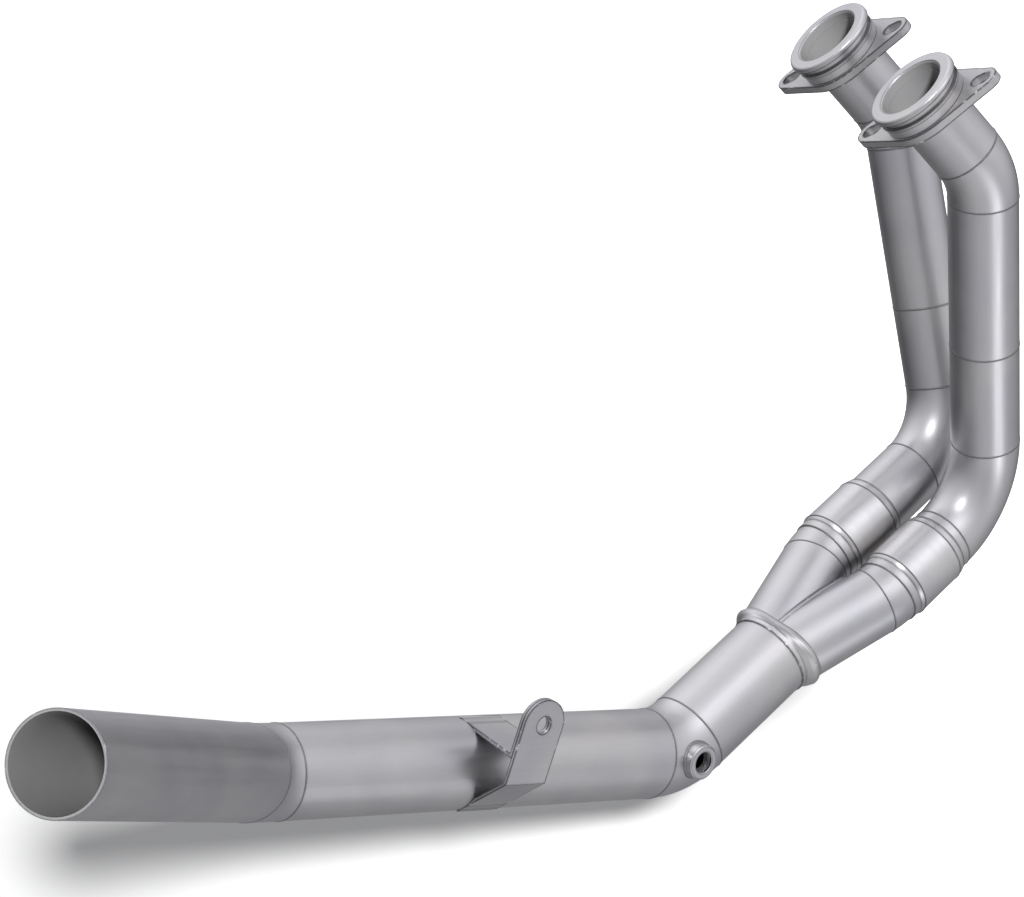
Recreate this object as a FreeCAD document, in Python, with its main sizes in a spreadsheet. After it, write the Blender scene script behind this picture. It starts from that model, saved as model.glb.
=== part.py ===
import FreeCAD, Part
import math
import os
import Sketcher

# Twin header pipe with a two-into-one collector and a link pipe, for a parallel-twin motorcycle.
# Row frame: origin at the centre of the right port's sealing face, X forward, Y to the left, Z up.
# A station is a distance along an axis from the point that its name gives.

SIZES = {
    # Ports in the cylinder head
    "port_pitch": 125.0,
    "port_lean": 48.5,
    "stub_length": 68.8,
    # Header tubes
    "header_od": 40.0,
    "header_wall": 1.5,
    "bend_radius": 50.0,
    "joint_below_bend": 112.0,
    "right_run": 91.2,
    "left_run": 115.2,
    # Turned port collar, with depths from the sealing face and walls from the header's outside
    "collar_stop": 1.0,
    "collar_bevel": 1.0,
    "rim_wall": 7.0,
    "rim_depth": 3.3,
    "rim_round": 2.0,
    "groove_wall": 4.0,
    "groove_depth": 7.4,
    "bead_wall": 5.8,
    "bead_depth": 9.2,
    "collar_wall": 5.2,
    "collar_depth": 14.6,
    "tube_stop_depth": 6.0,
    # Loose two-stud flange
    "flange_thickness": 5.0,
    "flange_clearance": 0.5,
    "flange_waist_wall": 6.65,
    "stud_pitch": 73.6,
    "ear_offset": 2.5,
    "ear_wall": 3.3,
    "slot_width": 8.4,
    "slot_length": 12.6,
    "flange_turn": 40.0,
    "seat_ring_wall": 2.5,
    "seat_ring_height": 2.3,
    # Slip sleeves, with stations counted from each collector inlet
    "sleeve_gap": 0.5,
    "sleeve_wall": 1.5,
    "sleeve_top": 44.5,
    "sleeve_shoulder": 39.5,
    "sleeve_mouth": 5.1,
    "sleeve_mouth_wall": 0.9,
    "sleeve_mouth_roll": 2.9,
    "header_end": 23.0,
    # Collector, with stations counted from the merge
    "merge_x": -74.45,
    "merge_y": -2.72,
    "merge_z": -326.86,
    "collector_heading": 25.21,
    "collector_climb": 24.36,
    "collector_roll": 15.57,
    "inlet_station": 77.54,
    "inlet_gap": 3.44,
    "inlet_swell": 0.25,
    "inlet_wall": 1.5,
    "inlet_spigot": 20.0,
    "stop_band_wall": 0.75,
    "stop_band_width": 5.0,
    "inlet_tilt": 14.3,
    "inlet_bend_radius": 40.0,
    "strip_thickness": 2.8,
    "strip_depth": 4.0,
    "strip_proud": 0.4,
    "strip_tip": 67.5,
    "strip_tip_width": 10.0,
    "strip_tip_wall": 2.0,
    # Ring that joins the pair of inlets to the link pipe
    "ring_wall": 1.5,
    "ring_clearance": 0.15,
    "ring_neck": 3.0,
    "ring_shoulder": 7.5,
    "ring_rim": 8.2,
    "ring_lip": 11.0,
    "ring_lip_wall": 0.5,
    "ring_neck_wall": 0.7,
    "ring_swell": 0.62,
    "ring_ledge": 1.3,
    # Link pipe
    "link_od": 50.0,
    "link_wall": 1.5,
    "front_run": 87.42,
    "middle_run": 293.26,
    "rear_run": 233.54,
    "middle_heading": 23.71,
    "middle_climb": -14.57,
    "rear_heading": 53.68,
    "rear_climb": -24.93,
    # Sensor boss on the front bend
    "boss_od": 20.0,
    "boss_height": 5.0,
    "boss_root": 7.5,
    "boss_hole": 12.0,
    "boss_bevel": 0.8,
    # Hanger bracket on the middle run, with stations counted back from the front bend's corner
    "hanger_station": 147.5,
    "hanger_width": 28.0,
    "hanger_sheet": 2.0,
    "hanger_reach": 44.0,
    "hanger_fold": 2.8,
    "hanger_inner_fold": 19.0,
    "hanger_eye_height": 35.0,
    "hanger_lean": 5.0,
    "hanger_inner_sweep": 2.5,
    "hanger_hole": 9.6,
    "hanger_lap": 0.3,
    "hanger_overrun": 5.0,
    # Spring hook under each sleeve, with stations counted as on the sleeve
    "hook_wire": 3.4,
    "hook_station": 38.0,
    "hook_reach": 5.0,
    "hook_length": 9.0,
    "hook_drop": 1.0,
    "hook_bend": 3.0,
    "hook_angle": 70.0,
}

doc = FreeCAD.newDocument("Headers")


class Dim:
    """A size that knows its number and the spreadsheet expression that gives it."""

    def __init__(self, number, text):
        self.number = float(number)
        self.text = text

    def join(self, other, sign, number):
        text = other.text if isinstance(other, Dim) else repr(float(other))
        return Dim(number, "(" + self.text + " " + sign + " " + text + ")")

    def __add__(self, other):
        return self.join(other, "+", self.number + float(other))

    def __sub__(self, other):
        return self.join(other, "-", self.number - float(other))

    def __mul__(self, other):
        return self.join(other, "*", self.number * float(other))

    def __truediv__(self, other):
        return self.join(other, "/", self.number / float(other))

    def __neg__(self):
        return Dim(-self.number, "(-" + self.text + ")")

    def __float__(self):
        return self.number


class Sheet:
    """A spreadsheet of named plain numbers; sheet.name gives the size as a Dim."""

    def __init__(self, title):
        self.cells = doc.addObject("Spreadsheet::Sheet", title)
        self.title = title
        self.rows = 0

    def put(self, name, number):
        self.rows += 1
        self.cells.set("A" + str(self.rows), name)
        self.cells.set("B" + str(self.rows), repr(float(number)))
        self.cells.setAlias("B" + str(self.rows), name)
        setattr(self, name, Dim(number, self.title + "." + name))
        return getattr(self, name)


size = Sheet("Sizes")
for alias, number in SIZES.items():
    size.put(alias, number)
runs = Sheet("Runs")
doc.recompute()

# Sizes that follow from others

sleeve_bore = size.header_od + size.sleeve_gap * 2
sleeve_od = sleeve_bore + size.sleeve_wall * 2
inlet_pitch = sleeve_od + size.inlet_gap
inlet_od = size.header_od + size.inlet_swell * 2
boss_reach = size.link_od / 2 + size.boss_height
waist_radius = size.header_od / 2 + size.flange_waist_wall
ear_reach = size.stud_pitch / 2 + size.ear_offset
ear_radius = size.slot_width / 2 + size.ear_wall

ZERO = Dim(0.0, "0")
FULL_TURN = 360.0
# A cut or a blank runs past the edge that it trims by this many times its own reach
PAST_EDGE = 4
# The sleeve's shoulder leaves a third of its height to the rounded neck
NECK_PARTS = 3


def vec(x, y, z):
    return FreeCAD.Vector(float(x), float(y), float(z))


def heading_vector(heading, climb):
    """Unit vector at a heading from forward, turned to the left, and a climb above level."""
    across, rise = math.radians(float(heading)), math.radians(float(climb))
    return vec(math.cos(rise) * math.cos(across), math.cos(rise) * math.sin(across), math.sin(rise))


def unit(vector):
    return FreeCAD.Vector(vector).normalize()


def placed(origin, x_axis, z_axis):
    """Placement whose Z is z_axis and whose X is x_axis made square to it."""
    z_axis = unit(z_axis)
    x_axis = unit(x_axis - z_axis * x_axis.dot(z_axis))
    rotation = FreeCAD.Rotation(x_axis, z_axis.cross(x_axis), z_axis, "ZXY")
    return FreeCAD.Placement(origin, rotation)


def square_to(vector):
    """Any direction square to a vector."""
    level = unit(vector).cross(vec(0, 0, 1))
    return unit(level) if level.Length > 1e-6 else vec(1, 0, 0)


def turn_between(first, second):
    return math.degrees(math.acos(max(-1.0, min(1.0, unit(first).dot(unit(second))))))


def setback(turn, radius):
    """Length that a bend takes from each of its two straights."""
    return float(radius) * math.tan(math.radians(turn) / 2.0)


# Sketch helpers


def new_body(name):
    body = doc.addObject("PartDesign::Body", name)
    body.Label = name
    return body


def new_sketch(body, role, name):
    sketch = body.newObject("Sketcher::SketchObject", name)
    plane = next(item for item in body.Origin.OriginFeatures if item.Role == role)
    sketch.AttachmentSupport = (plane, [""])
    sketch.MapMode = "FlatFace"
    return sketch


def bind(sketch, kind, elements, dim):
    """Add one measured constraint and bind it to its size."""
    index = sketch.addConstraint(Sketcher.Constraint(kind, *elements, float(dim)))
    sketch.setExpression("Constraints[" + str(index) + "]", dim.text)
    return index


def pin_point(sketch, edge, end, x, y):
    """Bind a point's two distances from the sketch origin."""
    if abs(float(x)) < 1e-9:
        sketch.addConstraint(Sketcher.Constraint("PointOnObject", edge, end, -2))
    else:
        bind(sketch, "DistanceX", (-1, 1, edge, end), x)
    if abs(float(y)) < 1e-9:
        sketch.addConstraint(Sketcher.Constraint("PointOnObject", edge, end, -1))
    else:
        bind(sketch, "DistanceY", (-1, 1, edge, end), y)


def closed_outline(sketch, corners):
    """Closed outline of straight sides through the corners."""
    count = len(corners)
    first = sketch.GeometryCount
    points = [vec(x, y, 0) for x, y in corners]
    for index in range(count):
        sketch.addGeometry(Part.LineSegment(points[index], points[(index + 1) % count]), False)
    for index in range(count):
        after = first + (index + 1) % count
        sketch.addConstraint(Sketcher.Constraint("Coincident", first + index, 2, after, 1))
    for index, (x, y) in enumerate(corners):
        pin_point(sketch, first + index, 1, x, y)


def circle(sketch, diameter, x=ZERO, y=ZERO):
    index = sketch.addGeometry(Part.Circle(vec(x, y, 0), vec(0, 0, 1), float(diameter) / 2.0), False)
    pin_point(sketch, index, 3, x, y)
    bind(sketch, "Diameter", (index,), diameter)


def revolved(name, corners):
    """Body turned about Z from a profile of radius and height."""
    body = new_body(name)
    sketch = new_sketch(body, "XZ_Plane", name + "_profile")
    closed_outline(sketch, corners)
    spin = body.newObject("PartDesign::Revolution", name + "_turning")
    spin.Profile = sketch
    spin.ReferenceAxis = (sketch, ["V_Axis"])
    spin.Angle = FULL_TURN
    doc.recompute()
    return body


def ring_edges(shape, radius, height):
    """Names of the shape's round edges about Z at a radius and height."""
    found = []
    for index, edge in enumerate(shape.Edges):
        curve = edge.Curve
        if not isinstance(curve, Part.Circle):
            continue
        flat = math.hypot(curve.Center.x, curve.Center.y)
        if flat < 1e-4 and abs(curve.Radius - float(radius)) < 1e-4:
            if abs(curve.Center.z - float(height)) < 1e-4:
                found.append("Edge" + str(index + 1))
    return found


def rounded(body, rings, radius):
    """Round the body's ring edges given as radius and height pairs."""
    base = body.Tip
    names = []
    for ring_radius, height in rings:
        names += ring_edges(base.Shape, ring_radius, height)
    fillet = body.newObject("PartDesign::Fillet", body.Name + "_rounds")
    fillet.Base = (base, names)
    fillet.Radius = float(radius)
    fillet.setExpression("Radius", radius.text)
    body.Tip = fillet
    doc.recompute()


def straight_tube(name, start, end, diameter, wall):
    """Round tube between two points, cut square at both ends."""
    length = runs.put(name + "_length", (end - start).Length)
    doc.recompute()
    body = new_body(name)
    section = new_sketch(body, "XY_Plane", name + "_section")
    circle(section, diameter)
    circle(section, diameter - wall * 2)
    pad = body.newObject("PartDesign::Pad", name + "_tube")
    pad.Profile = section
    pad.Length = float(length)
    pad.setExpression("Length", length.text)
    doc.recompute()
    body.Placement = placed(start, square_to(end - start), end - start)
    return body


class Bend:
    """Place of an arc that joins two straights at a corner: its ends, its centre and its turn."""

    def __init__(self, start, corner, end, radius):
        self.back, self.ahead = unit(start - corner), unit(end - corner)
        self.turn = 180.0 - turn_between(self.back, self.ahead)
        cut = setback(self.turn, radius)
        self.first, self.last = corner + self.back * cut, corner + self.ahead * cut
        reach = float(radius) / math.cos(math.radians(self.turn) / 2.0)
        self.centre = corner + unit(self.back + self.ahead) * reach
        self.middle = self.centre + unit(corner - self.centre) * float(radius)
        self.normal = unit(self.ahead.cross(self.back))


def elbow(name, bend, diameter, wall, radius):
    """Bent tube with no straight at either end, turned about the centre of its bend."""
    turn = runs.put(name + "_turn", bend.turn)
    doc.recompute()
    body = new_body(name)
    section = new_sketch(body, "XZ_Plane", name + "_section")
    circle(section, diameter, radius)
    circle(section, diameter - wall * 2, radius)
    spin = body.newObject("PartDesign::Revolution", name + "_sweep")
    spin.Profile = section
    spin.ReferenceAxis = (section, ["V_Axis"])
    spin.Angle = bend.turn
    spin.setExpression("Angle", turn.text + " * 1 deg")
    doc.recompute()
    body.Placement = placed(bend.centre, bend.first - bend.centre, bend.normal)
    return body


# Skeleton: the points and directions that every piece is placed by

port_axis = heading_vector(180.0, size.port_lean)
collector_axis = heading_vector(size.collector_heading, size.collector_climb)
merge = vec(size.merge_x, size.merge_y, size.merge_z)
level_side = unit(collector_axis.cross(vec(0, 0, 1)))
roll = FreeCAD.Rotation(collector_axis, float(size.collector_roll))
inlet_side = roll.multVec(level_side)
middle_axis = heading_vector(size.middle_heading, size.middle_climb)
rear_axis = heading_vector(size.rear_heading, size.rear_climb)
front_corner = merge - collector_axis * float(size.front_run)
rear_corner = front_corner - middle_axis * float(size.middle_run)
outlet = rear_corner - rear_axis * float(size.rear_run)

SIDES = {"right": 1.0, "left": -1.0}
RUN = {"right": size.right_run, "left": size.left_run}


def port_centre(side):
    return vec(0, 0 if side == "right" else size.port_pitch, 0)


def inlet_centre(side):
    """Centre of the inlet's stop band on the face that looks at the link pipe."""
    across = SIDES[side] * float(inlet_pitch) / 2.0
    return merge + collector_axis * float(size.inlet_station) + inlet_side * across


def upper_corner(side):
    return port_centre(side) - port_axis * float(size.stub_length)


def lower_corner(side):
    return inlet_centre(side) + collector_axis * float(RUN[side])


def joint_point(side):
    start, end = upper_corner(side), lower_corner(side)
    return start + unit(end - start) * float(size.joint_below_bend)


# Port collars, flanges and seat rings


def port_collar(side):
    name = "port_collar_" + side
    tube = size.header_od / 2
    bore, face = tube - size.collar_stop, tube + size.rim_wall
    groove, bead, skirt = tube + size.groove_wall, tube + size.bead_wall, tube + size.collar_wall
    body = revolved(name, [
        (bore + size.collar_bevel, ZERO),
        (face, ZERO),
        (face, -size.rim_depth),
        (groove, -size.rim_depth),
        (groove, -size.groove_depth),
        (bead, -size.groove_depth),
        (bead, -size.bead_depth),
        (skirt, -size.bead_depth),
        (skirt, -size.collar_depth),
        (tube, -size.collar_depth),
        (tube, -size.tube_stop_depth),
        (bore, -size.tube_stop_depth),
        (bore, -size.collar_bevel),
    ])
    rounded(body, [(face, ZERO)], size.rim_round)
    body.Placement = placed(port_centre(side), vec(0, 1, 0), port_axis)
    return body


def ear_angle():
    """Angle from the flange's long axis at which the straight edge leaves the ear, in radians."""
    waist, ear, reach = float(waist_radius), float(ear_radius), float(ear_reach)
    return math.acos((waist - ear) / reach)


def flange_outline(sketch):
    """Waist arcs and ear arcs joined by four tangent lines; the long axis is X."""
    waist, ear, reach = float(waist_radius), float(ear_radius), float(ear_reach)
    lean = ear_angle()
    z_axis = vec(0, 0, 1)
    quarter = math.pi / 2
    waist_points, ear_points = [], []
    for way in (1, -1):
        for hand in (1, -1):
            ray = vec(way * math.cos(lean), hand * math.sin(lean), 0)
            waist_points.append(ray * waist)
            ear_points.append(vec(way * reach, 0, 0) + ray * ear)
    # Order round the plate: front ear, upper edge, upper waist, and so on
    ear_front = Part.ArcOfCircle(Part.Circle(vec(reach, 0, 0), z_axis, ear), -lean, lean)
    waist_top = Part.ArcOfCircle(Part.Circle(vec(0, 0, 0), z_axis, waist), lean, math.pi - lean)
    back_circle = Part.Circle(vec(-reach, 0, 0), z_axis, ear)
    ear_back = Part.ArcOfCircle(back_circle, math.pi - lean, math.pi + lean)
    waist_circle = Part.Circle(vec(0, 0, 0), z_axis, waist)
    waist_low = Part.ArcOfCircle(waist_circle, math.pi + lean, 2 * math.pi - lean)
    pieces = [
        ear_front,
        Part.LineSegment(ear_points[0], waist_points[0]),
        waist_top,
        Part.LineSegment(waist_points[2], ear_points[2]),
        ear_back,
        Part.LineSegment(ear_points[3], waist_points[3]),
        waist_low,
        Part.LineSegment(waist_points[1], ear_points[1]),
    ]
    for piece in pieces:
        sketch.addGeometry(piece, False)
    for index in range(len(pieces)):
        after = (index + 1) % len(pieces)
        sketch.addConstraint(Sketcher.Constraint("Tangent", index, 2, after, 1))
    for arc in (2, 6):
        sketch.addConstraint(Sketcher.Constraint("Coincident", arc, 3, -1, 1))
    for arc in (0, 4):
        sketch.addConstraint(Sketcher.Constraint("PointOnObject", arc, 3, -1))
    bind(sketch, "DistanceX", (-1, 1, 0, 3), ear_reach)
    bind(sketch, "DistanceX", (4, 3, -1, 1), ear_reach)
    bind(sketch, "Radius", (0,), ear_radius)
    sketch.addConstraint(Sketcher.Constraint("Equal", 0, 4))
    bind(sketch, "Radius", (2,), waist_radius)
    sketch.addConstraint(Sketcher.Constraint("Equal", 2, 6))


def slot(sketch, way):
    """One stud slot along X, centred on the stud's pitch."""
    half = (size.slot_length - size.slot_width) / 2
    radius = size.slot_width / 2
    middle = size.stud_pitch / 2 if way > 0 else -(size.stud_pitch / 2)
    near, far = middle - half, middle + half
    z_axis = vec(0, 0, 1)
    first = sketch.GeometryCount
    round_far = Part.Circle(vec(far, 0, 0), z_axis, float(radius))
    round_near = Part.Circle(vec(near, 0, 0), z_axis, float(radius))
    sketch.addGeometry(Part.ArcOfCircle(round_far, -math.pi / 2, math.pi / 2), False)
    sketch.addGeometry(Part.LineSegment(vec(far, radius, 0), vec(near, radius, 0)), False)
    sketch.addGeometry(Part.ArcOfCircle(round_near, math.pi / 2, math.pi * 1.5), False)
    sketch.addGeometry(Part.LineSegment(vec(near, -radius, 0), vec(far, -radius, 0)), False)
    for step in range(4):
        after = first + (step + 1) % 4
        sketch.addConstraint(Sketcher.Constraint("Tangent", first + step, 2, after, 1))
    pin_point(sketch, first, 3, far, ZERO)
    pin_point(sketch, first + 2, 3, near, ZERO)
    bind(sketch, "Radius", (first,), radius)


def port_flange(side):
    name = "port_flange_" + side
    body = new_body(name)
    sketch = new_sketch(body, "XY_Plane", name + "_outline")
    flange_outline(sketch)
    circle(sketch, size.header_od + size.flange_clearance * 2)
    slot(sketch, 1)
    slot(sketch, -1)
    pad = body.newObject("PartDesign::Pad", name + "_plate")
    pad.Profile = sketch
    pad.Length = float(size.flange_thickness)
    pad.setExpression("Length", size.flange_thickness.text)
    pad.Reversed = True
    doc.recompute()
    long_axis = FreeCAD.Rotation(port_axis, -float(size.flange_turn)).multVec(port_axis.cross(vec(0, 1, 0)))
    centre = port_centre(side) - port_axis * float(size.collar_depth)
    body.Placement = placed(centre, long_axis, port_axis)
    return body


def seat_ring(side):
    """Thin ring on the tube that keeps the loose flange against its collar."""
    top = -(size.collar_depth + size.flange_thickness)
    low = top - size.seat_ring_height
    tube = size.header_od / 2
    outer = tube + size.seat_ring_wall
    body = revolved("flange_ring_" + side, [(tube, top), (outer, top), (outer, low), (tube, low)])
    body.Placement = placed(port_centre(side), vec(0, 1, 0), port_axis)
    return body


# Header tubes and slip sleeves


def header_tubes(side):
    """Six lengths of tube from the collar down to the sleeve: four straights and two elbows."""
    top = port_centre(side) - port_axis * float(size.tube_stop_depth)
    foot = inlet_centre(side) + collector_axis * float(size.header_end)
    upper = Bend(top, upper_corner(side), lower_corner(side), size.bend_radius)
    lower = Bend(upper_corner(side), lower_corner(side), foot, size.bend_radius)
    joint = joint_point(side)
    tube = (size.header_od, size.header_wall)
    return [
        straight_tube("header_stub_" + side, top, upper.first, *tube),
        elbow("header_neck_" + side, upper, *tube, size.bend_radius),
        straight_tube("header_run_" + side, upper.last, joint, *tube),
        straight_tube("header_drop_" + side, joint, lower.first, *tube),
        elbow("header_elbow_" + side, lower, *tube, size.bend_radius),
        straight_tube("header_tail_" + side, lower.last, foot, *tube),
    ]


def slip_sleeve(side):
    outer, inner = sleeve_od / 2, sleeve_bore / 2
    tube = size.header_od / 2
    mouth = tube + size.sleeve_mouth_wall
    lead = inlet_od / 2
    neck = (size.sleeve_top - size.sleeve_shoulder) / NECK_PARTS
    body = revolved("slip_sleeve_" + side, [
        (tube, size.sleeve_top),
        (tube + size.sleeve_wall / 2, size.sleeve_top),
        (tube + size.sleeve_wall, size.sleeve_top - neck),
        (outer, size.sleeve_shoulder),
        (outer, size.sleeve_mouth + size.sleeve_mouth_roll),
        (outer - size.sleeve_mouth_roll / 6, size.sleeve_mouth + size.sleeve_mouth_roll / 2),
        (mouth, size.sleeve_mouth),
        (lead, size.sleeve_mouth),
        (inner, size.sleeve_mouth + size.sleeve_mouth_roll),
        (inner, size.sleeve_shoulder - neck),
        (tube, size.sleeve_top - neck),
    ])
    body.Placement = placed(inlet_centre(side), inlet_side, collector_axis)
    return body


# Collector: two tilted inlets, the strip between them and the ring at the merge


def bend_setback():
    return setback(float(size.inlet_tilt), size.inlet_bend_radius)


def inlet_offset(station):
    """Distance of a tilted inlet's axis from the collector axis at a station."""
    drop = float(size.inlet_station) - bend_setback() - float(station)
    return float(inlet_pitch) / 2.0 - math.tan(math.radians(float(size.inlet_tilt))) * drop


def collector_inlet(side):
    """Spigot and stop band square to the sleeve, then a tube tilted to the merge and cut flat."""
    name = "collector_inlet_" + side
    way = SIDES[side]
    tilt = math.radians(float(size.inlet_tilt))
    radius = float(size.inlet_bend_radius)
    across = inlet_pitch / 2 if way > 0 else -(inlet_pitch / 2)
    top = size.inlet_station + size.inlet_spigot
    length = runs.put(name + "_run", (float(size.inlet_station) - bend_setback()) / math.cos(tilt))
    spigot_run = runs.put(name + "_spigot", float(size.inlet_spigot))
    doc.recompute()

    body = new_body(name)
    path = new_sketch(body, "XZ_Plane", name + "_path")
    start = vec(across, top, 0)
    bend_top = vec(across, size.inlet_station, 0)
    centre = bend_top - vec(way * radius, 0, 0)
    bend_low = centre + vec(way * radius * math.cos(tilt), -radius * math.sin(tilt), 0)
    away = vec(-way * math.sin(tilt), -math.cos(tilt), 0)
    path.addGeometry(Part.LineSegment(start, bend_top), False)
    if way > 0:
        arc = Part.ArcOfCircle(Part.Circle(centre, vec(0, 0, 1), radius), -tilt, 0)
        arc_first, arc_last = 2, 1
    else:
        arc = Part.ArcOfCircle(Part.Circle(centre, vec(0, 0, 1), radius), math.pi, math.pi + tilt)
        arc_first, arc_last = 1, 2
    path.addGeometry(arc, False)
    path.addGeometry(Part.LineSegment(bend_low, bend_low + away * float(length)), False)
    path.addConstraint(Sketcher.Constraint("Vertical", 0))
    path.addConstraint(Sketcher.Constraint("Tangent", 0, 2, 1, arc_first))
    path.addConstraint(Sketcher.Constraint("Tangent", 1, arc_last, 2, 1))
    pin_point(path, 0, 1, across, top)
    bind(path, "Distance", (0,), spigot_run)
    bind(path, "Radius", (1,), size.inlet_bend_radius)
    bind(path, "Distance", (2,), length)
    index = path.addConstraint(Sketcher.Constraint("Angle", 0, 1, 2, 1, -way * tilt))
    sign = "-" if way > 0 else ""
    path.setExpression("Constraints[" + str(index) + "]", sign + size.inlet_tilt.text + " * 1 deg")

    section = new_sketch(body, "XY_Plane", name + "_section")
    section.AttachmentOffset = FreeCAD.Placement(vec(0, 0, top), FreeCAD.Rotation())
    section.setExpression("AttachmentOffset.Base.z", top.text)
    circle(section, inlet_od, across)
    circle(section, inlet_od - size.inlet_wall * 2, across)
    pipe = body.newObject("PartDesign::AdditivePipe", name + "_pipe")
    pipe.Profile = section
    pipe.Spine = path
    doc.recompute()

    band = new_sketch(body, "XY_Plane", name + "_band")
    band.AttachmentOffset = FreeCAD.Placement(vec(0, 0, size.inlet_station), FreeCAD.Rotation())
    band.setExpression("AttachmentOffset.Base.z", size.inlet_station.text)
    circle(band, inlet_od + size.stop_band_wall * 2, across)
    circle(band, inlet_od - size.inlet_wall, across)
    stop = body.newObject("PartDesign::Pad", name + "_stop_band")
    stop.Profile = band
    stop.Length = float(size.stop_band_width)
    stop.setExpression("Length", size.stop_band_width.text)
    doc.recompute()

    reach = inlet_pitch * 2
    half = size.strip_thickness / 2
    middle = new_sketch(body, "XZ_Plane", name + "_middle_cut")
    wall, far = (half, -reach) if way > 0 else (-half, reach)
    low, high = -reach, size.inlet_station
    corners = [(far, low), (wall, low), (wall, high), (far, high)]
    closed_outline(middle, corners if way > 0 else corners[::-1])
    cut = body.newObject("PartDesign::Pocket", name + "_middle_pocket")
    cut.Profile = middle
    cut.Type = "ThroughAll"
    cut.Midplane = True
    doc.recompute()

    end = new_sketch(body, "XZ_Plane", name + "_end_cut")
    top = size.ring_shoulder
    closed_outline(end, [(-reach, -reach), (reach, -reach), (reach, top), (-reach, top)])
    cut = body.newObject("PartDesign::Pocket", name + "_end_pocket")
    cut.Profile = end
    cut.Type = "ThroughAll"
    cut.Midplane = True
    doc.recompute()
    body.Placement = placed(merge, inlet_side, collector_axis)
    return body


def circle_radius(first, second, third):
    """Radius of the circle through three points."""
    a, b, c = (second - first).Length, (third - second).Length, (first - third).Length
    area = (second - first).cross(third - first).Length / 2.0
    return a * b * c / (4.0 * area)


def cut_height(station, radius):
    """Height over the middle plane at which a tilted inlet of a radius crosses that plane."""
    off = inlet_offset(station) * math.cos(math.radians(float(size.inlet_tilt)))
    return math.sqrt(radius * radius - off * off)


def collector_strip():
    """Forked filler strip that closes the cut between the two inlets."""
    name = "collector_strip"
    outer = float(inlet_od) / 2.0
    low, tip = float(size.ring_shoulder), float(size.strip_tip)
    middle = (low + tip) / 2.0
    proud, depth = float(size.strip_proud), float(size.strip_depth)
    tip_half = size.strip_tip_width / 2
    low_y = runs.put("strip_low_height", cut_height(low, outer) + proud)
    middle_y = cut_height(middle, outer) + proud
    inner_low = low_y - size.strip_depth
    inner_tip = size.strip_tip - size.strip_depth * 2
    inner_tip_y = tip_half - size.strip_tip_wall
    outer_points = (vec(low_y, low, 0), vec(middle_y, middle, 0), vec(tip_half, tip, 0))
    bow = runs.put("strip_bow", circle_radius(*outer_points))
    inner_points = (vec(inner_low, low, 0), vec(middle_y - depth, middle, 0), vec(inner_tip_y, inner_tip, 0))
    inner_bow = runs.put("strip_inner_bow", circle_radius(*inner_points))
    doc.recompute()

    body = new_body(name)
    sketch = new_sketch(body, "YZ_Plane", name + "_outline")

    def bowed(start, end, radius, way):
        """Arc from start to end that bows away from the middle line on the side way."""
        first, last = vec(*start, 0), vec(*end, 0)
        half = (last - first).Length / 2.0
        along = unit(last - first)
        normal = vec(-along.y, along.x, 0)
        centre = (first + last) * 0.5 + normal * way * math.sqrt(float(radius) ** 2 - half * half)
        middle_point = centre - normal * way * float(radius)
        return Part.Arc(first, middle_point, last)

    low_s, tip_s = size.ring_shoulder, size.strip_tip
    corners = [
        (low_y, low_s), (tip_half, tip_s), (-tip_half, tip_s), (-low_y, low_s),
        (-inner_low, low_s), (-inner_tip_y, inner_tip), (inner_tip_y, inner_tip), (inner_low, low_s),
    ]
    arcs = {0: (bow, 1), 2: (bow, 1), 4: (inner_bow, -1), 6: (inner_bow, -1)}
    count = len(corners)
    for index in range(count):
        start, end = corners[index], corners[(index + 1) % count]
        if index in arcs:
            sketch.addGeometry(bowed(start, end, *arcs[index]), False)
        else:
            sketch.addGeometry(Part.LineSegment(vec(*start, 0), vec(*end, 0)), False)
    ends = [edge_ends(sketch, index, corners[index]) for index in range(count)]
    for index in range(count):
        after = (index + 1) % count
        last, first = ends[index][1], ends[after][0]
        sketch.addConstraint(Sketcher.Constraint("Coincident", index, last, after, first))
    for index, (x, y) in enumerate(corners):
        pin_point(sketch, index, ends[index][0], x, y)
    for index, (radius, way) in arcs.items():
        bind(sketch, "Radius", (index,), radius)
    pad = body.newObject("PartDesign::Pad", name + "_plate")
    pad.Profile = sketch
    pad.Midplane = True
    pad.Length = float(size.strip_thickness)
    pad.setExpression("Length", size.strip_thickness.text)
    doc.recompute()
    body.Placement = placed(merge, inlet_side, collector_axis)
    return body


def edge_ends(sketch, index, start):
    """Which ends of a sketch edge are its first and last, given the corner that it starts from."""
    first = sketch.getPoint(index, 1)
    near = math.hypot(first.x - float(start[0]), first.y - float(start[1])) < 1e-6
    return (1, 2) if near else (2, 1)


CAP_SHARE = 20.0


def oval(offset, radius, height):
    """Wire of two side arcs and two caps; with no offset it is a circle cut at the same places."""
    z = vec(0, 0, height)
    spread = math.radians(90.0 if offset > 0 else 90.0 - CAP_SHARE)
    edges = []
    corners = []
    for way in (1, -1):
        centre = vec(way * offset, 0, height)
        start = centre + vec(way * radius * math.cos(spread), -way * radius * math.sin(spread), 0)
        middle = centre + vec(way * radius, 0, 0)
        end = centre + vec(way * radius * math.cos(spread), way * radius * math.sin(spread), 0)
        edges.append(Part.Arc(start, middle, end).toShape())
        corners.append((start, end))
    caps = []
    for first, second, hand in ((corners[0][1], corners[1][0], 1), (corners[1][1], corners[0][0], -1)):
        if offset > 0:
            caps.append(Part.LineSegment(first, second).toShape())
        else:
            caps.append(Part.Arc(first, z + vec(0, hand * radius, 0), second).toShape())
    return Part.Wire([edges[0], caps[0], edges[1], caps[1]])


def feature(name, shape, placement=None):
    """Document object for a shape that is worked out here from the sheet."""
    item = doc.addObject("Part::Feature", name)
    item.Label = name
    item.Shape = shape
    if placement is not None:
        item.Placement = placement
    return item


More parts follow.
